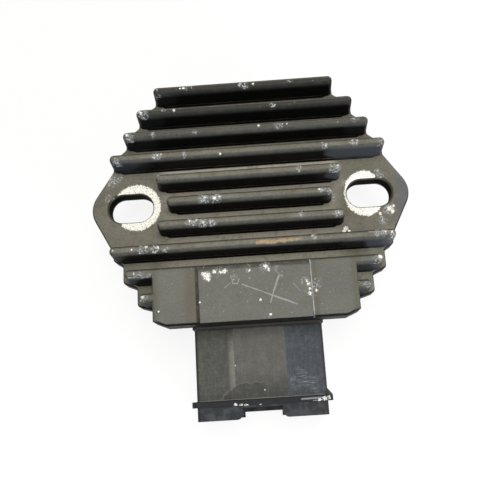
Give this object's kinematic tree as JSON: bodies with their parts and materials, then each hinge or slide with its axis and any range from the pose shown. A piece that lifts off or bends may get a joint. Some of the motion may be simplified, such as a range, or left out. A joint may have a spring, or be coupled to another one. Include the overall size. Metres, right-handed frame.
{
  "type": "voltage regulator rectifier",
  "caption": "Finned die-cast regulator rectifier with slotted mounting lugs and a moulded blade socket, its electronics potted in resin at the back.",
  "frame": {"origin": "midway between the two mounting slots, on the underside of the lugs", "axes": "+X from lug to lug, +Y away from the socket, +Z out of the fins"},
  "size_m": [0.089, 0.0935, 0.0294],
  "materials": {
    "cast_aluminium": "satin",
    "socket_plastic": "satin",
    "resin": "satin",
    "tinned_brass": "satin",
    "substrate_plate": "satin",
    "copper": "satin",
    "board": "satin",
    "chip_plastic": "matte"
  },
  "bodies": {
    "root": {"heat_sink": "cast_aluminium", "connector_housing": "socket_plastic", "phase_1_blade": "tinned_brass", "phase_2_blade": "tinned_brass", "phase_3_blade": "tinned_brass", "battery_blade": "tinned_brass", "ground_blade": "tinned_brass", "sense_blade": "tinned_brass", "substrate": "substrate_plate", "thyristor_1": "chip_plastic", "thyristor_2": "chip_plastic", "thyristor_3": "chip_plastic", "rectifier_diode_1": "chip_plastic", "rectifier_diode_2": "chip_plastic", "rectifier_diode_3": "chip_plastic", "device_straps": "copper", "link_pins": "copper", "control_board": "board", "control_chip": "chip_plastic", "capacitor": "chip_plastic", "zener_diode": "chip_plastic", "driver_transistors": "chip_plastic", "resistors": "chip_plastic", "potting_resin": "resin"}
  },
  "joints": []
}
